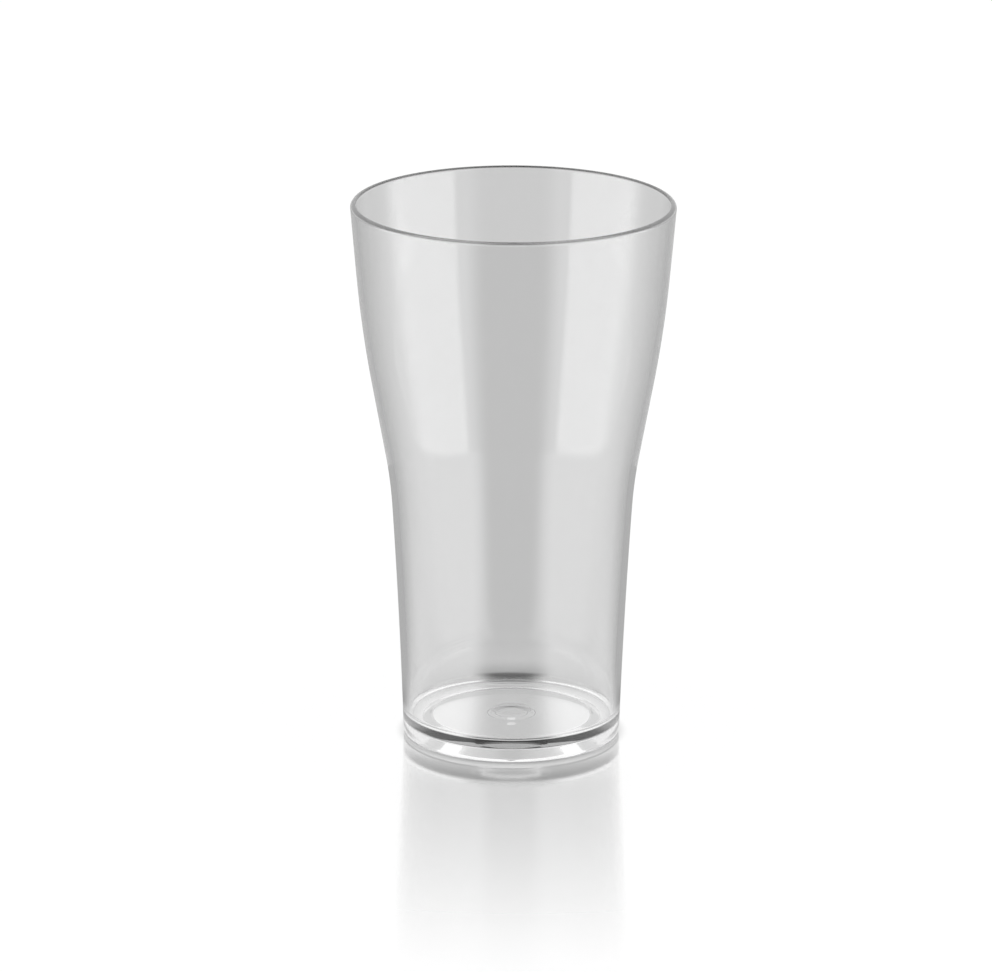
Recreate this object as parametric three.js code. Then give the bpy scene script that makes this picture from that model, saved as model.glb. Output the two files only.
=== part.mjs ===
// A clear moulded tulip tumbler, free-standing, in millimetres with +Z up.
// The origin is the centre of the foot, on the surface that the tumbler stands on.
// The tumbler is one shot of clear plastic: wall, base and foot ring are a single revolved body.

import * as THREE from 'three';

// Outside of the wall: its diameter where it would meet the ground, and its largest, at the lip.
const FOOT_DIAMETER = 48.4;
const RIM_DIAMETER = 71.9;

// Lengths of the five stretches of the wall, from the foot up to the lip.
const BODY_LENGTH = 53.0;
const WAIST_LENGTH = 11.5;
const FLARE_LENGTH = 16.5;
const SHOULDER_LENGTH = 24.0;
const MOUTH_LENGTH = 16.1;

// Lean of the wall away from the axis, in degrees. The flare's own lean follows from the two diameters.
const FOOT_DRAFT = 1.8;
const WAIST_DRAFT = 3.7;
const MOUTH_DRAFT = 5.2;
const RIM_DRAFT = 4.8;

// Wall thickness, which thins evenly from the foot to the rim.
const FOOT_WALL = 1.5;
const RIM_WALL = 1.2;

// Lip: a narrow flat between a broken inner edge and an outer edge that is rounded over the rest of the wall.
const LIP_INNER_RADIUS = 0.2;
const LIP_FLAT = 0.1;

// Base: a slab of even thickness, held up by the foot ring round a recess with a sloping edge.
const BASE_THICKNESS = 2.7;
const FLOOR_FILLET = 1.5;
const FOOT_EDGE_RADIUS = 1.3;
const FOOT_RING_WIDTH = 3.0;
const RECESS_DEPTH = 2.2;
const RECESS_EDGE_WIDTH = 2.2;

// Dimple that the moulding gate leaves in the middle of the recess.
const GATE_DIAMETER = 9.8;
const GATE_DEPTH = 0.3;
const GATE_EDGE_WIDTH = 1.6;

// Dish that the mould's air valve leaves in the middle of the floor.
const VALVE_DIAMETER = 9.8;
const VALVE_DEPTH = 0.1;
const VALVE_EDGE_WIDTH = 1.2;

// Facets: round the axis, along each curved stretch, in each rounded edge, and the shortest one up the wall.
const TURN_SEGMENTS = 64;
const STRETCH_STEPS = 4;
const FILLET_STEPS = 3;
const LIP_OUTER_STEPS = 4;
const LIP_INNER_STEPS = 2;
const LEAST_STEP = 0.3;

const slopeOf = (degrees) => Math.tan(THREE.MathUtils.degToRad(degrees));

// The slope of the wall changes evenly along a stretch, so each stretch is a parabola that meets the next
// one without a corner. The flare's slope is the one that brings the wall from the foot out to the rim.
function wallStretches() {
  const [foot, waist, mouth, rim] = [FOOT_DRAFT, WAIST_DRAFT, MOUTH_DRAFT, RIM_DRAFT].map(slopeOf);
  const fixedSpread = (BODY_LENGTH * (foot + waist) + WAIST_LENGTH * waist
    + SHOULDER_LENGTH * mouth + MOUTH_LENGTH * (mouth + rim)) / 2;
  const flareReach = FLARE_LENGTH + (WAIST_LENGTH + SHOULDER_LENGTH) / 2;
  const flare = ((RIM_DIAMETER - FOOT_DIAMETER) / 2 - fixedSpread) / flareReach;
  return [
    { length: BODY_LENGTH, from: foot, to: waist },
    { length: WAIST_LENGTH, from: waist, to: flare },
    { length: FLARE_LENGTH, from: flare, to: flare },
    { length: SHOULDER_LENGTH, from: flare, to: mouth },
    { length: MOUTH_LENGTH, from: mouth, to: rim },
  ];
}

const STRETCHES = wallStretches();
const LIP_HEIGHT = STRETCHES.reduce((sum, stretch) => sum + stretch.length, 0);
const LIP_OUTER_RADIUS = RIM_WALL - LIP_FLAT - LIP_INNER_RADIUS;
const FLOOR_HEIGHT = RECESS_DEPTH + BASE_THICKNESS;

// Outer radius at a height: the sum of what each stretch below that height adds.
function outerRadius(z) {
  let radius = FOOT_DIAMETER / 2;
  let bottom = 0;
  for (const { length, from, to } of STRETCHES) {
    const rise = THREE.MathUtils.clamp(z - bottom, 0, length);
    radius += from * rise + (to - from) * rise * rise / (2 * length);
    bottom += length;
  }
  return radius;
}

const innerRadius = (z) => outerRadius(z) - THREE.MathUtils.lerp(FOOT_WALL, RIM_WALL, z / LIP_HEIGHT);

// Heights of the wall's points from one height up to the lip: a straight stretch needs only its ends.
function wallHeights(low) {
  const heights = [];
  let bottom = 0;
  for (const { length, from, to } of STRETCHES) {
    const steps = from === to ? 1 : STRETCH_STEPS;
    for (let i = 1; i <= steps; i += 1) {
      heights.push(bottom + length * i / steps);
    }
    bottom += length;
  }
  return heights.filter((z) => z > low + LEAST_STEP && z < LIP_HEIGHT - LEAST_STEP);
}

// Points of an arc in the profile plane: x is the radius and y the height, angles in degrees.
function arcPoints(x, y, radius, startDegrees, endDegrees, steps) {
  return Array.from({ length: steps + 1 }, (_, i) => {
    const angle = THREE.MathUtils.degToRad(THREE.MathUtils.lerp(startDegrees, endDegrees, i / steps));
    return new THREE.Vector2(x + radius * Math.cos(angle), y + radius * Math.sin(angle));
  });
}

// Underside from the axis outwards: gate dimple, recess, foot ring and the rounded edge of the foot.
function undersidePoints() {
  const gateRadius = GATE_DIAMETER / 2;
  const contactRadius = outerRadius(FOOT_EDGE_RADIUS) - FOOT_EDGE_RADIUS;
  const ringInner = contactRadius - FOOT_RING_WIDTH;
  return [
    new THREE.Vector2(0, RECESS_DEPTH + GATE_DEPTH),
    new THREE.Vector2(gateRadius - GATE_EDGE_WIDTH, RECESS_DEPTH + GATE_DEPTH),
    new THREE.Vector2(gateRadius, RECESS_DEPTH),
    new THREE.Vector2(ringInner - RECESS_EDGE_WIDTH, RECESS_DEPTH),
    new THREE.Vector2(ringInner, 0),
    ...arcPoints(contactRadius, FOOT_EDGE_RADIUS, FOOT_EDGE_RADIUS, -90, 0, FILLET_STEPS),
  ];
}

// Lip from the outside in: the rounded outer edge, the flat on top and the broken inner edge.
function lipPoints() {
  const top = LIP_HEIGHT + LIP_OUTER_RADIUS;
  const outer = RIM_DIAMETER / 2 - LIP_OUTER_RADIUS;
  const inner = outer - LIP_FLAT;
  return [
    ...arcPoints(outer, LIP_HEIGHT, LIP_OUTER_RADIUS, 0, 90, LIP_OUTER_STEPS),
    ...arcPoints(inner, top - LIP_INNER_RADIUS, LIP_INNER_RADIUS, 90, 180, LIP_INNER_STEPS),
  ];
}

// Floor inside the cup, from the fillet at the wall to the dish on the axis.
function floorPoints() {
  const top = FLOOR_HEIGHT + FLOOR_FILLET;
  const centre = innerRadius(top) - FLOOR_FILLET;
  const valveRadius = VALVE_DIAMETER / 2;
  return [
    ...arcPoints(centre, top, FLOOR_FILLET, 0, -90, FILLET_STEPS),
    new THREE.Vector2(valveRadius, FLOOR_HEIGHT),
    new THREE.Vector2(valveRadius - VALVE_EDGE_WIDTH, FLOOR_HEIGHT - VALVE_DEPTH),
    new THREE.Vector2(0, FLOOR_HEIGHT - VALVE_DEPTH),
  ];
}

// The whole section, once round: underside, outer wall, lip, inner wall and floor.
function tumblerProfile() {
  const outer = wallHeights(FOOT_EDGE_RADIUS);
  const inner = wallHeights(FLOOR_HEIGHT + FLOOR_FILLET).reverse();
  return [
    ...undersidePoints(),
    ...outer.map((z) => new THREE.Vector2(outerRadius(z), z)),
    ...lipPoints(),
    ...inner.map((z) => new THREE.Vector2(innerRadius(z), z)),
    ...floorPoints(),
  ];
}

function makeTumblerBody() {
  const geometry = new THREE.LatheGeometry(tumblerProfile(), TURN_SEGMENTS);
  geometry.rotateX(Math.PI / 2);
  const clearPlastic = new THREE.MeshStandardMaterial({
    color: 0xf4f6f6,
    roughness: 0.03,
    metalness: 0,
    transparent: true,
    opacity: 0.3,
  });
  const mesh = new THREE.Mesh(geometry, clearPlastic);
  mesh.name = 'tumbler_body';
  return mesh;
}

const tulipTumbler = new THREE.Group();
tulipTumbler.add(makeTumblerBody());

export default tulipTumbler;
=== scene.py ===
# %% [markdown]
# # A clear tulip tumbler
#
# The tumbler is one moulding of water-clear plastic: a straight lower body, a waist, a flared bowl and a base
# raised on a ring. Its solid is finished, so this file only gives it a smooth surface, a finish, a table and
# light. The solid is loaded first, because the rim's radius and the height below are read from it.

import bpy
import numpy as np
from mathutils import Euler, Matrix, Vector


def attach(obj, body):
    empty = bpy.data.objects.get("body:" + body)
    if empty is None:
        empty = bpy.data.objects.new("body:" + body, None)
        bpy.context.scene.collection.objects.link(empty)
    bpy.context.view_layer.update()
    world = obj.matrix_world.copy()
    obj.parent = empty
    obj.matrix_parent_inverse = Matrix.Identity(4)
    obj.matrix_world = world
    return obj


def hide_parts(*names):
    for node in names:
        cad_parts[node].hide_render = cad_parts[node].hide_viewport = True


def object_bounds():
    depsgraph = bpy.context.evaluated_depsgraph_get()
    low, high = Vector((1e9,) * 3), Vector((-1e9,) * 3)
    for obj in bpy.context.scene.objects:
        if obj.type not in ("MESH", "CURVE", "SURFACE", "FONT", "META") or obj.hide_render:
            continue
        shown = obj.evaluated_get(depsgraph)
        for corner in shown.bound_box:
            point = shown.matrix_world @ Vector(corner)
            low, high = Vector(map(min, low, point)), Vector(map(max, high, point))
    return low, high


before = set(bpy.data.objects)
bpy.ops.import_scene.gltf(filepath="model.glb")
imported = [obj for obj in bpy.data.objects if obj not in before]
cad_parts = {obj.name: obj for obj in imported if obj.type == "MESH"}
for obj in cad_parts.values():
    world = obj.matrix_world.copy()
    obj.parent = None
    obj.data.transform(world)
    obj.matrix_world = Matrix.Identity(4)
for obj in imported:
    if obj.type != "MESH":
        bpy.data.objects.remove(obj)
cad_low, cad_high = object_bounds()
print("solid's box in metres:", [round(v, 5) for v in (*cad_low, *cad_high)])

# %% [markdown]
# ## Sizes
#
# A drinking tumbler is drawn as half a section and turned about its axis. The largest radius and the height
# come from the solid. The other sizes are the ones a toolmaker would ask for: how far each stretch of the
# wall runs, how much it leans, how thick it is, and what the base looks like underneath. All are in metres
# and degrees.

# %% Sizes of the section
MM = 0.001
RIM_RADIUS = cad_high.x
HEIGHT = cad_high.z
FOOT_RADIUS = 24.2 * MM
STRETCH_LENGTHS = np.array([53.0, 11.5, 16.5, 24.0, 16.1]) * MM
FOOT_LEAN, WAIST_LEAN, MOUTH_LEAN, RIM_LEAN = np.tan(np.radians([1.8, 3.7, 5.2, 4.8]))
FOOT_WALL, RIM_WALL = 1.5 * MM, 1.2 * MM
LIP_INNER_RADIUS, LIP_FLAT = 0.2 * MM, 0.1 * MM
LIP_OUTER_RADIUS = RIM_WALL - LIP_FLAT - LIP_INNER_RADIUS
LIP_HEIGHT = HEIGHT - LIP_OUTER_RADIUS
BASE_THICKNESS = 2.7 * MM
FLOOR_FILLET = 1.5 * MM
FOOT_EDGE_RADIUS = 1.3 * MM
FOOT_RING_WIDTH = 3.0 * MM
RECESS_DEPTH, RECESS_EDGE_WIDTH = 2.2 * MM, 2.2 * MM
FLOOR_HEIGHT = RECESS_DEPTH + BASE_THICKNESS
GATE_RADIUS, GATE_DEPTH, GATE_EDGE_WIDTH = 4.9 * MM, 0.3 * MM, 1.6 * MM
VALVE_RADIUS, VALVE_DEPTH, VALVE_EDGE_WIDTH = 4.9 * MM, 0.1 * MM, 1.2 * MM
CORNER_CUT, MARK_CUT = 0.2 * MM, 0.58 * MM
print(f"rim {2 * RIM_RADIUS / MM:.1f} mm across, {HEIGHT / MM:.1f} mm tall")

# %% [markdown]
# ## The wall
#
# The wall has no corner from the foot to the lip: its lean changes evenly along each stretch. So the lean is
# a broken line over the height, and the radius is the running sum of that lean, like distance from speed.
# One lean is left open, that of the flare, and it is solved so that the wall ends at the rim. A spline
# through measured points could do the same, but it would hide the five stretches.


# %% Outer and inner wall
def spread(leans):
    """How far the wall moves out in all: each stretch's length times the mean of the leans at its ends."""
    return float(np.sum(STRETCH_LENGTHS * (leans[1:] + leans[:-1]) / 2))


FINE_POINTS = 2001
fixed_leans = np.array([FOOT_LEAN, WAIST_LEAN, 0, 0, MOUTH_LEAN, RIM_LEAN])
flare_share = np.array([0, 0, 1.0, 1.0, 0, 0])
flare_lean = (RIM_RADIUS - FOOT_RADIUS - spread(fixed_leans)) / spread(flare_share)
leans = fixed_leans + flare_lean * flare_share
stations = np.concatenate([[0], np.cumsum(STRETCH_LENGTHS)])
fine_heights = np.unique(np.concatenate([np.linspace(0, stations[-1], FINE_POINTS), stations]))
fine_leans = np.interp(fine_heights, stations, leans)
fine_steps = np.diff(fine_heights) * (fine_leans[1:] + fine_leans[:-1]) / 2
fine_radii = FOOT_RADIUS + np.concatenate([[0], np.cumsum(fine_steps)])


def outer_radius(z):
    """Outer radius at a height: the running sum of the lean from the foot up."""
    return np.interp(z, fine_heights, fine_radii)


def inner_radius(z):
    """Inner radius at a height: the outer radius less a wall that thins evenly from foot to rim."""
    return outer_radius(z) - (FOOT_WALL + (RIM_WALL - FOOT_WALL) * z / LIP_HEIGHT)


print(f"flare leans {np.degrees(np.arctan(flare_lean)):.1f} degrees")

# %% [markdown]
# ## The section
#
# Clear plastic shows every corner of its section from inside, so no corner is left sharp: each is cut by a
# small curve. Points crowd together at the ends of every run, which keeps the smooth shading of a rounded
# edge from leaking over the flat beside it. The alternative, a bevel modifier, would spend its faces evenly.


# %% Pieces of the section
def run(start, end, count):
    """Points from start to end, crowded at both ends by half a cosine wave."""
    t = (1 - np.cos(np.pi * np.arange(count) / (count - 1))) / 2
    return np.asarray(start) + t[:, None] * (np.asarray(end) - np.asarray(start))


def arc(centre, radius, first, last, count):
    """Points of a circle's arc between two angles in degrees, in the plane of radius and height."""
    angle = np.radians(np.linspace(first, last, count))
    return np.asarray(centre) + radius * np.stack([np.cos(angle), np.sin(angle)], axis=1)


def rounded(corners, cuts, run_count, curve_count):
    """A broken line whose inner corners are cut by parabolas that start and end a cut away from them."""
    corners = np.asarray(corners)
    cuts = np.broadcast_to(cuts, len(corners) - 2)
    ahead = np.diff(corners, axis=0)
    ahead /= np.linalg.norm(ahead, axis=1)[:, None]
    t = np.linspace(0, 1, curve_count)[:, None]
    points, start = [], corners[0]
    for corner, cut, before, after in zip(corners[1:-1], cuts, ahead[:-1], ahead[1:]):
        first, last = corner - cut * before, corner + cut * after
        points.append(run(start, first, run_count)[:-1])
        points.append((1 - t) ** 2 * first + 2 * t * (1 - t) * corner + t ** 2 * last)
        start = last
    return np.concatenate([*points, run(start, corners[-1], run_count)])


def wall_points(radius_of, low, high, count):
    """Points of one side of the wall between two heights."""
    z = run([low], [high], count)[:, 0]
    return np.stack([radius_of(z), z], axis=1)


RUN_POINTS, CURVE_POINTS = 8, 6
first_step = run([0], [1], RUN_POINTS)[1, 0]
print(f"the first step of a run is {first_step:.3f} of its length")

# %% [markdown]
# The section runs once round: from the axis along the underside, round the foot, up the outside, over the
# lip, down the inside and along the floor back to the axis. Under the base there is a recess with a sloping
# edge, so that the tumbler stands on a ring. In the middle the mould has left two faint round marks, a dimple
# from its gate underneath and a dish from its air valve in the floor.

# %% The whole section
WALL_POINTS, EDGE_POINTS, LIP_INNER_POINTS, FILLET_POINTS = 90, 16, 8, 14
contact_radius = float(outer_radius(FOOT_EDGE_RADIUS)) - FOOT_EDGE_RADIUS
ring_inner = contact_radius - FOOT_RING_WIDTH
underside = rounded(
    [
        (0, RECESS_DEPTH + GATE_DEPTH),
        (GATE_RADIUS - GATE_EDGE_WIDTH, RECESS_DEPTH + GATE_DEPTH),
        (GATE_RADIUS, RECESS_DEPTH),
        (ring_inner - RECESS_EDGE_WIDTH, RECESS_DEPTH),
        (ring_inner, 0),
        (contact_radius, 0),
    ],
    (MARK_CUT, MARK_CUT, CORNER_CUT, CORNER_CUT), RUN_POINTS, CURVE_POINTS,
)
foot_edge = arc((contact_radius, FOOT_EDGE_RADIUS), FOOT_EDGE_RADIUS, -90, 0, EDGE_POINTS)
outside = wall_points(outer_radius, FOOT_EDGE_RADIUS, LIP_HEIGHT, WALL_POINTS)
lip_centre = RIM_RADIUS - LIP_OUTER_RADIUS
lip_outer = arc((lip_centre, LIP_HEIGHT), LIP_OUTER_RADIUS, 0, 90, EDGE_POINTS)
lip_inner_centre = (lip_centre - LIP_FLAT, HEIGHT - LIP_INNER_RADIUS)
lip_inner = arc(lip_inner_centre, LIP_INNER_RADIUS, 90, 180, LIP_INNER_POINTS)
floor_top = FLOOR_HEIGHT + FLOOR_FILLET
inside = wall_points(inner_radius, HEIGHT - LIP_INNER_RADIUS, floor_top, WALL_POINTS)
fillet_centre = float(inner_radius(floor_top)) - FLOOR_FILLET
floor_fillet = arc((fillet_centre, floor_top), FLOOR_FILLET, 0, -90, FILLET_POINTS)
floor_run = rounded(
    [
        (fillet_centre, FLOOR_HEIGHT),
        (VALVE_RADIUS, FLOOR_HEIGHT),
        (VALVE_RADIUS - VALVE_EDGE_WIDTH, FLOOR_HEIGHT - VALVE_DEPTH),
        (0, FLOOR_HEIGHT - VALVE_DEPTH),
    ],
    MARK_CUT, RUN_POINTS, CURVE_POINTS,
)
section = np.concatenate(
    [
        underside, foot_edge[1:], outside[1:], lip_outer[1:],
        lip_inner, inside[1:], floor_fillet[1:], floor_run[1:],
    ]
)
print(len(section), "points in the section")

# %% [markdown]
# ## The body
#
# Turning the section about the axis gives a grid: one parameter runs along the section, the other round the
# axis. The first and last points lie on the axis, so each becomes a single vertex with a fan of triangles,
# and the surface is closed with no seam. Blender's Screw modifier would turn it too, but leaves its doubles.


# %% Turn the section
def turned(name, section, turns):
    """A closed surface of revolution: point (r, z) of the section at angle a is (r cos a, r sin a, z)."""
    ring, (bottom, top) = section[1:-1], section[[0, -1], 1]
    angle = 2 * np.pi * np.arange(turns) / turns
    x = ring[:, :1] * np.cos(angle)
    y = ring[:, :1] * np.sin(angle)
    z = np.broadcast_to(ring[:, 1:], x.shape)
    grid = np.stack([x, y, z], axis=2).reshape(-1, 3)
    vertices = np.concatenate([grid, [[0, 0, bottom], [0, 0, top]]])
    row, column = np.meshgrid(np.arange(len(ring) - 1), np.arange(turns), indexing="ij")
    here, ahead = row * turns + column, row * turns + (column + 1) % turns
    quads = np.stack([here, ahead, ahead + turns, here + turns], axis=2).reshape(-1, 4)
    around = np.arange(turns)
    beside = (around + 1) % turns
    last = (len(ring) - 1) * turns
    fan_low = np.stack([np.full(turns, len(grid)), beside, around], axis=1)
    fan_high = np.stack([np.full(turns, len(grid) + 1), last + around, last + beside], axis=1)
    mesh = bpy.data.meshes.new(name)
    mesh.from_pydata(vertices.tolist(), [], quads.tolist() + fan_low.tolist() + fan_high.tolist())
    mesh.polygons.foreach_set("use_smooth", np.ones(len(mesh.polygons), dtype=bool))
    piece = bpy.data.objects.new(name, mesh)
    bpy.context.scene.collection.objects.link(piece)
    return piece


TURNS = 240
tumbler = turned("clear_tumbler", section, TURNS)
print(len(tumbler.data.polygons), "faces in the tumbler")

# %% [markdown]
# ## Shader maths
#
# A finish is arithmetic on numbers that change over the surface. The class below wraps a node's socket, so
# that an ordinary Python expression adds the Math nodes, and one method adds every other kind of node.


# %% A socket with arithmetic
class Field:
    """A value over a surface: one socket of a node tree. Each operator adds one Math node."""

    def __init__(self, tree, socket=None):
        self.tree = tree
        self.socket = socket

    def node(self, kind, settings=None, inputs=None, output=0):
        """Adds a node. Its settings are set first, then each input is linked to a Field or given a value."""
        made = self.tree.nodes.new(kind)
        for name, value in (settings or {}).items():
            setattr(made, name, value)
        for name, value in (inputs or {}).items():
            if isinstance(value, Field):
                self.tree.links.new(value.socket, made.inputs[name])
            else:
                made.inputs[name].default_value = value
        return Field(self.tree, made.outputs[output] if len(made.outputs) else None)

    def math(self, operation, *values):
        return self.node("ShaderNodeMath", {"operation": operation}, dict(enumerate(values)))

    def __add__(self, other):
        return self.math("ADD", self, other)

    def __mul__(self, other):
        return self.math("MULTIPLY", self, other)

    def __sub__(self, other):
        return self.math("SUBTRACT", self, other)

    def __rsub__(self, other):
        return self.math("SUBTRACT", other, self)

    __radd__ = __add__
    __rmul__ = __mul__

    def between(self, low, high):
        """0 up to low, 1 from high on, and a smooth step in between."""
        ends = {"Value": self, "From Min": low, "From Max": high, "To Min": 0.0, "To Max": 1.0}
        return self.node("ShaderNodeMapRange", {"interpolation_type": "SMOOTHSTEP"}, ends)


def new_material(name):
    """An empty node material, and a Field to add its nodes with."""
    material = bpy.data.materials.new(name)
    material.use_nodes = True
    material.node_tree.nodes.clear()
    return material, Field(material.node_tree)


# %% [markdown]
# ## Clear plastic
#
# Polished clear plastic bends light more than window glass does, and what one sees is mostly its
# surroundings. What makes it plastic is slight: the wall is not quite even, because the melt flowed from the
# base to the rim and left faint upright ripples, and hands and washing leave dull patches. The ripples are a
# noise stretched along the height and feed a Bump node. The patches raise the roughness a little. Plastic
# also takes some light on a long way through it, so the edges, seen along the wall, are greyer than the rest.
#
# Two things help the edges further. Some light runs along inside the wall, thrown from face to face, and a
# renderer gives it up as black, so after a few reflections it is let straight out. And the rounded lip, which
# shows as a fine dark line on a real tumbler, has that line as painted shade: its very top is tinted grey.

# %% Finish of the body
PLASTIC_IOR = 1.585
PLASTIC_TINT_LIGHT, PLASTIC_TINT_DEEP = (0.987, 0.987, 0.987, 1), (0.975, 0.976, 0.976, 1)
# painted shade: the top of the lip is coloured dark grey for the fine dark line a real lip shows
LIP_PAINTED_SHADE = (0.2, 0.2, 0.2, 1)
LIP_PAINTED_SHADE_START, LIP_PAINTED_SHADE_FULL = 0.55 * MM, 0.35 * MM
POLISH, DULLEST = 0.004, 0.05
PATCH_SCALE, PATCH_DETAIL, PATCH_START, PATCH_FULL = 70.0, 4.0, 0.56, 0.78
RIPPLE_SCALE, RIPPLE_DETAIL, RIPPLE_STRETCH = 160.0, 2.0, 0.06
SWELL_SCALE, SWELL_DETAIL, SWELL_SHARE = 28.0, 1.0, 3.0
RIPPLE_DEPTH = 0.004 * MM
ABSORPTION_COLOR, ABSORPTION_DENSITY = (0.5, 0.5, 0.5, 1), 22.0
TRAPPED_START, TRAPPED_FULL = 3, 4


def clear_plastic():
    """Transmission with polycarbonate's index, upright flow ripples as bump, and patchy roughness. The tint
    turns grey at the lip as painted shade, and a ray that was reflected a few times passes straight through."""
    material, make = new_material("clear_plastic")
    place = make.node("ShaderNodeTexCoord", output="Object")
    upright = make.node("ShaderNodeMapping", inputs={"Vector": place, "Scale": (1, 1, RIPPLE_STRETCH)})

    def noise(vector, scale, detail):
        """A cloudy pattern of one grain size, with some finer grains on top."""
        return make.node("ShaderNodeTexNoise", inputs={"Vector": vector, "Scale": scale, "Detail": detail})

    def mixed(share, first, second):
        """A colour that goes from the first to the second as the share goes from 0 to 1."""
        inputs = {"Factor": share, "A": first, "B": second}
        return make.node("ShaderNodeMix", {"data_type": "RGBA"}, inputs, output=2)

    ripple = noise(upright, RIPPLE_SCALE, RIPPLE_DETAIL)
    swell = noise(place, SWELL_SCALE, SWELL_DETAIL)
    dull = noise(place, PATCH_SCALE, PATCH_DETAIL).between(PATCH_START, PATCH_FULL)
    height = make.node("ShaderNodeSeparateXYZ", inputs={"Vector": place}, output="Z")
    # painted shade: the dark grey lip line is mixed into the plastic's tone here
    painted_lip_shade = height.between(HEIGHT - LIP_PAINTED_SHADE_START, HEIGHT - LIP_PAINTED_SHADE_FULL)
    tone_and_painted_lip_shade = mixed(painted_lip_shade, mixed(swell, PLASTIC_TINT_LIGHT, PLASTIC_TINT_DEEP), LIP_PAINTED_SHADE)
    relief = ripple + SWELL_SHARE * swell
    bump = make.node("ShaderNodeBump", inputs={"Height": relief, "Distance": RIPPLE_DEPTH})
    shader = make.node(
        "ShaderNodeBsdfPrincipled",
        inputs={
            "Base Color": tone_and_painted_lip_shade,
            "Roughness": POLISH + (DULLEST - POLISH) * dull,
            "Normal": bump,
            "IOR": PLASTIC_IOR,
            "Transmission Weight": 1.0,
        },
    )
    absorption = make.node(
        "ShaderNodeVolumeAbsorption", inputs={"Color": ABSORPTION_COLOR, "Density": ABSORPTION_DENSITY}
    )
    trapped = make.node("ShaderNodeLightPath", output="Glossy Depth").between(TRAPPED_START, TRAPPED_FULL)
    way_out = make.node("ShaderNodeBsdfTransparent")
    surface = make.node("ShaderNodeMixShader", inputs={"Fac": trapped, 1: shader, 2: way_out})
    make.node("ShaderNodeOutputMaterial", inputs={"Surface": surface, "Volume": absorption})
    return material


tumbler.data.materials.append(clear_plastic())
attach(tumbler, "root")
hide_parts("tumbler_body")
print("finish:", tumbler.data.materials[0].name)

# %% [markdown]
# ## The table
#
# The tumbler stands on a white gloss table, which mirrors it near the foot and is plain white further out.
# The table is white by its own colour, a mirror is mixed in near the foot, and a thin share of ordinary matt
# white keeps the tumbler's shadow. Hardly any light gets in under the foot's edge, so a contact shadow is
# painted there: the white fades out, and the mirror is weaker too.

# %% Table
TABLE_HALF_SIZE = 3.0
MIRROR_SHARE = 0.95
MIRROR_START_RADIUS, MIRROR_FULL_RADIUS, MIRROR_END_RADIUS = 0.024, 0.046, 0.195
MIRROR_AT_FOOT = 0.6
MIRROR_ROUGHNESS = 0.1
TABLE_GLOW, TABLE_MATT = 0.9, 0.2
# painted contact shadow: the table's white glow fades out under the foot's edge
PAINTED_CONTACT_SHADOW_START, PAINTED_CONTACT_SHADOW_END = 0.0225, 0.0265


def table_white():
    """White light plus a little matt white, mixed with a mirror. The white starts at the foot's edge, a
    painted contact shadow, and the mirror's share grows from there and then falls off away from the foot."""
    material, make = new_material("table_white")
    place = make.node("ShaderNodeTexCoord", output="Object")
    distance = make.node("ShaderNodeVectorMath", {"operation": "LENGTH"}, {0: place}, output="Value")
    clear_of_foot = distance.between(MIRROR_START_RADIUS, MIRROR_FULL_RADIUS)
    share = MIRROR_AT_FOOT + (MIRROR_SHARE - MIRROR_AT_FOOT) * clear_of_foot
    share = share * (1 - distance.between(MIRROR_START_RADIUS, MIRROR_END_RADIUS))
    # painted contact shadow on the white glow
    painted_lighting = distance.between(PAINTED_CONTACT_SHADOW_START, PAINTED_CONTACT_SHADOW_END)
    glow = make.node("ShaderNodeEmission", inputs={"Color": TABLE_GLOW * painted_lighting})
    matt = make.node("ShaderNodeBsdfDiffuse", inputs={"Color": (TABLE_MATT, TABLE_MATT, TABLE_MATT, 1)})
    white = make.node("ShaderNodeAddShader", inputs={0: glow, 1: matt})
    mirror = make.node("ShaderNodeBsdfGlossy", inputs={"Color": (1, 1, 1, 1), "Roughness": MIRROR_ROUGHNESS})
    surface = make.node("ShaderNodeMixShader", inputs={"Fac": share, 1: white, 2: mirror})
    make.node("ShaderNodeOutputMaterial", inputs={"Surface": surface})
    return material


def flat_sheet(name, half_size, height):
    """A square sheet at one height: four corners and one face."""
    corners = half_size * np.array([(-1, -1, 0), (1, -1, 0), (1, 1, 0), (-1, 1, 0)]) + (0, 0, height)
    mesh = bpy.data.meshes.new(name)
    mesh.from_pydata(corners.tolist(), [], [(0, 1, 2, 3)])
    sheet = bpy.data.objects.new(name, mesh)
    bpy.context.scene.collection.objects.link(sheet)
    return sheet


table = flat_sheet("table", TABLE_HALF_SIZE, 0.0)
table.data.materials.append(table_white())
table.visible_transmission = table.visible_glossy = False
print("table mirrors up to", MIRROR_END_RADIUS / MM, "mm from the axis")

# %% [markdown]
# ## The grey tent
#
# Clear plastic on white would vanish. In a studio, clear ware is set in a tent of grey cloth, so that it
# shows grey against the white. Here the tent is a floor, a wall and a top, which only the plastic sees:
# camera rays pass them by. Straight through the plastic the cloth is an even grey. In reflections its glow is
# painted light and shade: dark in front, where the camera stands, and lighter left and right of that, where
# the lamps' light falls.

# %% Light of the tent
SIDE_START, SIDE_FULL = -0.6, 0.0
DARK_START, DARK_FULL = 0.80, 0.95


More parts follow.
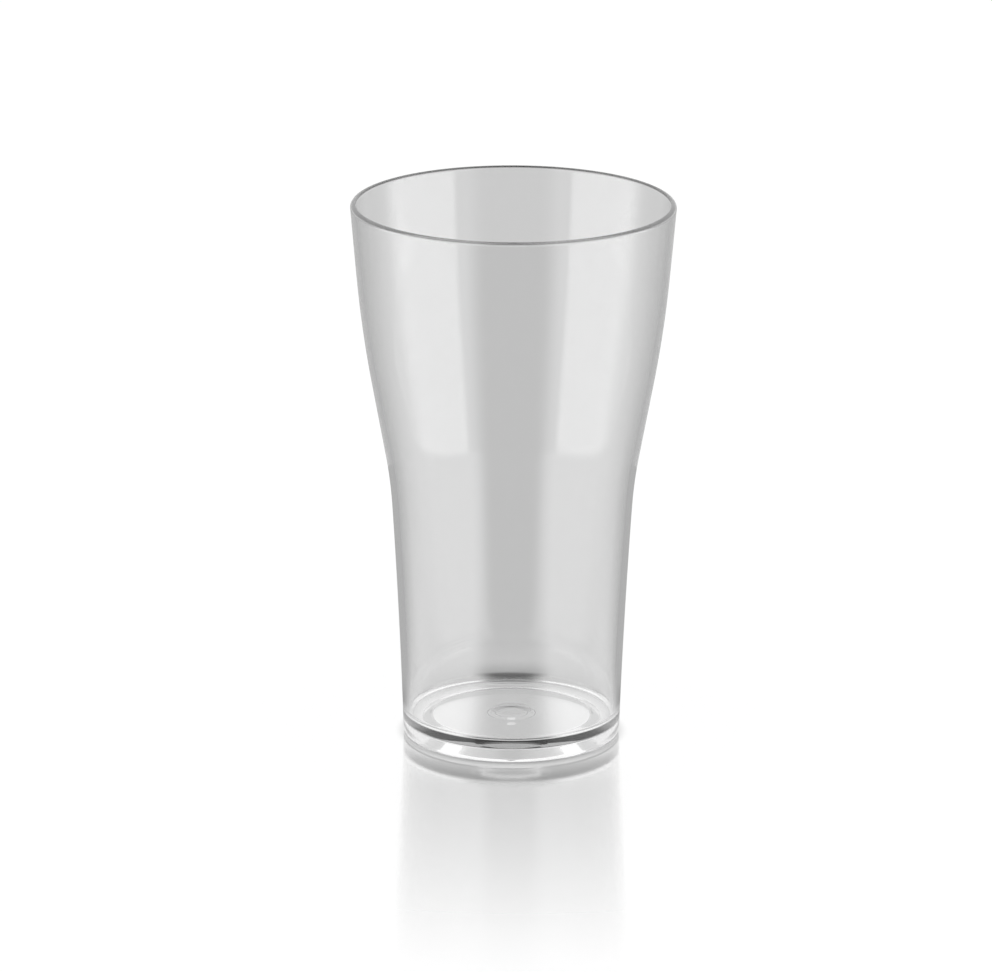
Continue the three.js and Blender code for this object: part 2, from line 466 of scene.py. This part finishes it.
def tent_material(name, straight, dark, side, rear, paint=None):
    """A glow that is even straight through the plastic. After a reflection it is painted light and shade by
    the way it lies from the axis: the dark value round -Y, then the side value up to a right angle, the rear
    value round +Y."""
    material, make = new_material(name)
    place = make.node("ShaderNodeTexCoord", output="Object")
    flat = make.node("ShaderNodeVectorMath", {"operation": "MULTIPLY"}, {0: place, 1: (1, 1, 0)})
    outwards = make.node("ShaderNodeVectorMath", {"operation": "NORMALIZE"}, {0: flat})
    facing = {0: outwards, 1: (0, -1, 0)}
    front = make.node("ShaderNodeVectorMath", {"operation": "DOT_PRODUCT"}, facing, output="Value")
    mirrored = make.node("ShaderNodeLightPath", output="Glossy Depth").between(0.0, 1.0)
    # painted light and shade in reflections: dark in front, lighter at the sides where the lamps' light falls
    around = rear + (side - rear) * front.between(SIDE_START, SIDE_FULL)
    around = around + (dark - side) * front.between(DARK_START, DARK_FULL)
    if paint:
        straight, around = paint(make, flat, front, straight, around)
    glow = make.node("ShaderNodeEmission", inputs={"Color": straight + (around - straight) * mirrored})
    make.node("ShaderNodeOutputMaterial", inputs={"Surface": glow})
    material.cycles.emission_sampling = "NONE"
    return material


dark_end, light_start = np.degrees(np.arccos([DARK_FULL, DARK_START]))
print(f"in reflections, dark up to {dark_end:.0f} and light from {light_start:.0f} degrees off the front")

# %% [markdown]
# The table just outside the foot lies in the tumbler's own shadow, which is deepest right behind it. Under
# the foot there is even light, and a little more of it left and right. The tent's floor has all this painted
# on, round the axis, because the real table isn't seen through the plastic.

# %% Shadow on the tent's floor
SHADOW_BLUR = 0.5 * MM
SHADOW_START, SHADOW_END = 0.030, 0.055
RING_SHADE, BEHIND_SHADE = 0.2, 0.84
BEHIND_START, BEHIND_FULL = 0.965, 0.997
UNDER_RADIUS, UNDER_GREY = 0.0185, 0.7
UNDER_SIDE, UNDER_SIDE_START, UNDER_SIDE_FULL = 0.6, 0.003, 0.014


def foot_shadow(make, flat, front, straight, around):
    """Both lights, shaded in a ring outside the foot, most of all right behind it. Under the foot the light
    after a reflection is even, and the light straight through grows to the left and right."""
    distance = make.node("ShaderNodeVectorMath", {"operation": "LENGTH"}, {0: flat}, output="Value")
    ring = distance.between(FOOT_RADIUS - SHADOW_BLUR, FOOT_RADIUS + SHADOW_BLUR)
    ring = ring * (1 - distance.between(SHADOW_START, SHADOW_END))
    behind = (0 - front).between(BEHIND_START, BEHIND_FULL)
    painted_lighting = 1 - ring * (RING_SHADE + (BEHIND_SHADE - RING_SHADE) * behind)
    outside = distance.between(UNDER_RADIUS, FOOT_RADIUS)
    right = make.node("ShaderNodeSeparateXYZ", inputs={"Vector": flat}, output="X")
    aside = make.math("ABSOLUTE", right).between(UNDER_SIDE_START, UNDER_SIDE_FULL)
    painted_lighting = painted_lighting + UNDER_SIDE * aside * (1 - outside)
    return straight * painted_lighting, UNDER_GREY + (around * painted_lighting - UNDER_GREY) * outside


shadow_width = SHADOW_END - FOOT_RADIUS
print(f"the foot's shadow is {shadow_width / MM:.1f} mm wide")

# %% [markdown]
# Each part of the tent is a straight line turned about the axis: level for the floor, upright for the wall
# and sloping for the top. The floor and the top also show in reflections off the outside. The wall doesn't,
# so that the outside mirrors the white of the background there.

# %% Floor, wall and top of the tent
TENT_RADIUS, TENT_WALL, TENT_TOP = 0.9, 0.6, 1.1
TENT_DROP, TENT_HOLE = 0.5 * MM, 1.0 * MM
TENT_TURNS = 96
STRAIGHT_GREY = 0.67


def turned_sheet(name, section, turns):
    """An open surface of revolution: point (r, z) of the section at angle a is (r cos a, r sin a, z)."""
    section = np.asarray(section)
    angle = 2 * np.pi * np.arange(turns) / turns
    x = section[:, :1] * np.cos(angle)
    y = section[:, :1] * np.sin(angle)
    z = np.broadcast_to(section[:, 1:], x.shape)
    row, column = np.meshgrid(np.arange(len(section) - 1), np.arange(turns), indexing="ij")
    here, ahead = row * turns + column, row * turns + (column + 1) % turns
    quads = np.stack([here, ahead, ahead + turns, here + turns], axis=2).reshape(-1, 4)
    mesh = bpy.data.meshes.new(name)
    mesh.from_pydata(np.stack([x, y, z], axis=2).reshape(-1, 3).tolist(), [], quads.tolist())
    sheet = bpy.data.objects.new(name, mesh)
    bpy.context.scene.collection.objects.link(sheet)
    return sheet


def tent_part(name, section, material, in_mirrors):
    """A turned piece of the tent, seen through the plastic, and in outer reflections too if in_mirrors."""
    part = turned_sheet(name, section, TENT_TURNS)
    part.data.materials.append(material)
    part.visible_camera = part.visible_diffuse = part.visible_shadow = False
    part.visible_glossy = in_mirrors
    print(name, "reaches", round(part.dimensions.x / 2, 3), "m from the axis")


floor_light = tent_material("tent_floor", STRAIGHT_GREY, dark=0.05, side=1.1, rear=0.45, paint=foot_shadow)
wall_light = tent_material("tent_wall", STRAIGHT_GREY, dark=0.03, side=0.7, rear=0.75)
top_light = tent_material("tent_top", STRAIGHT_GREY, dark=0.4, side=1.3, rear=1.2)
floor_line = [(TENT_HOLE, -TENT_DROP), (TENT_RADIUS, -TENT_DROP)]
wall_line = [(TENT_RADIUS, -TENT_DROP), (TENT_RADIUS, TENT_WALL)]
top_line = [(TENT_RADIUS, TENT_WALL), (TENT_HOLE, TENT_TOP)]
tent_part("tent_floor", floor_line, floor_light, in_mirrors=True)
tent_part("tent_wall", wall_line, wall_light, in_mirrors=False)
tent_part("tent_top", top_line, top_light, in_mirrors=True)

# %% [markdown]
# ## Light
#
# Two tall soft boxes stand beside the table, left and right of the camera. The back wall of the bowl mirrors
# them, which gives the two bright upright bands. In the plastic they show only after one reflection: straight
# through it they would leave spots in the grey, and after a second one there would be bands on the table too.
# The world is white to the camera, to mirrors and through clear things, and a plain grey for everything else.

# %% Soft boxes and world
BOX_DISTANCE = 0.45
BOX_FRONT, BOX_BACK = -0.50, 0.22
BOX_BOTTOM, BOX_TOP = 0.0, 0.26
BOX_FRONT_EDGE, BOX_BACK_EDGE, BOX_LOW_EDGE = 0.10, 0.20, 0.03
BOX_LIGHT = 1.55
WORLD_PLAIN = 0.6


def soft_box(name, side):
    """An upright area lamp at x = side times the distance, facing the axis. Its face shines with BOX_LIGHT
    and fades out towards its front, back and lower edges."""
    lamp = bpy.data.lights.new(name, "AREA")
    lamp.shape = "RECTANGLE"
    lamp.size, lamp.size_y = BOX_TOP - BOX_BOTTOM, BOX_BACK - BOX_FRONT
    lamp.energy = BOX_LIGHT * np.pi * lamp.size * lamp.size_y
    lamp.use_nodes = True
    lamp.node_tree.nodes.clear()
    make = Field(lamp.node_tree)
    place = make.node("ShaderNodeNewGeometry", output="Position")
    along = make.node("ShaderNodeSeparateXYZ", inputs={"Vector": place}, output="Y")
    height = make.node("ShaderNodeSeparateXYZ", inputs={"Vector": place}, output="Z")
    face = along.between(BOX_FRONT, BOX_FRONT + BOX_FRONT_EDGE)
    face = face * (1 - along.between(BOX_BACK - BOX_BACK_EDGE, BOX_BACK))
    face = face * height.between(BOX_BOTTOM, BOX_BOTTOM + BOX_LOW_EDGE)
    through = make.node("ShaderNodeLightPath", output="Transmission Depth").between(0.0, 1.0)
    reflections = make.node("ShaderNodeLightPath", output="Glossy Depth")
    mirrored, mirrored_twice = reflections.between(0.0, 1.0), reflections.between(1.0, 2.0)
    seen = (1 - mirrored_twice) * (1 - through * (1 - mirrored))
    shine = make.node("ShaderNodeEmission", inputs={"Strength": face * seen})
    make.node("ShaderNodeOutputLight", inputs={"Surface": shine})
    box = bpy.data.objects.new(name, lamp)
    box.location = (side * BOX_DISTANCE, (BOX_FRONT + BOX_BACK) / 2, (BOX_BOTTOM + BOX_TOP) / 2)
    box.rotation_euler = Euler((0, side * np.pi / 2, 0))
    bpy.context.scene.collection.objects.link(box)
    return box


for name, side in (("soft_box_left", -1), ("soft_box_right", 1)):
    box = soft_box(name, side)
    print(name, "shines with", round(box.data.energy, 2), "W")

world = bpy.data.worlds.new("studio")
bpy.context.scene.world = world
world.use_nodes = True
world.node_tree.nodes.clear()
make = Field(world.node_tree)
camera_ray, glossy_ray, clear_ray = (
    make.node("ShaderNodeLightPath", output=kind)
    for kind in ("Is Camera Ray", "Is Glossy Ray", "Is Transmission Ray")
)
shows = make.math("MAXIMUM", make.math("MAXIMUM", camera_ray, glossy_ray), clear_ray)
backdrop = make.node("ShaderNodeBackground", inputs={"Color": WORLD_PLAIN + (1 - WORLD_PLAIN) * shows})
make.node("ShaderNodeOutputWorld", inputs={"Surface": backdrop})

# %% [markdown]
# ## Camera
#
# The picture was taken with a long lens from about a metre and a half away, well above the rim. Distance,
# height and tilt come from the ellipses of the rim and the foot: the foot's is rounder than the rim's, and
# how much rounder tells how near the camera stood.

# %% Camera
FRAME_WIDTH = 992
FOCAL_PIXELS = 6850
CAMERA_PLACE = Vector((-3.63, -1464.0, 486.3)) * MM
CAMERA_PITCH, CAMERA_ROLL = np.radians(16.34), np.radians(0.195)

lens = bpy.data.cameras.new("camera")
lens.sensor_width = 36.0
lens.lens = FOCAL_PIXELS / FRAME_WIDTH * lens.sensor_width
camera = bpy.data.objects.new("camera", lens)
tilt = Matrix.Rotation(np.pi / 2 - CAMERA_PITCH, 4, "X") @ Matrix.Rotation(CAMERA_ROLL, 4, "Z")
camera.matrix_world = Matrix.Translation(CAMERA_PLACE) @ tilt
bpy.context.scene.collection.objects.link(camera)
bpy.context.scene.camera = camera
print("lens", round(lens.lens, 1), "mm")

# %% [markdown]
# ## Render settings
#
# Light crosses the faces of a clear tumbler many times before it gets out, most of all in the base, so the
# ray limits are raised.

# %% Settings
scene = bpy.context.scene
scene.view_settings.view_transform = "Standard"
scene.cycles.max_bounces = 32
scene.cycles.glossy_bounces = 24
scene.cycles.transmission_bounces = 32
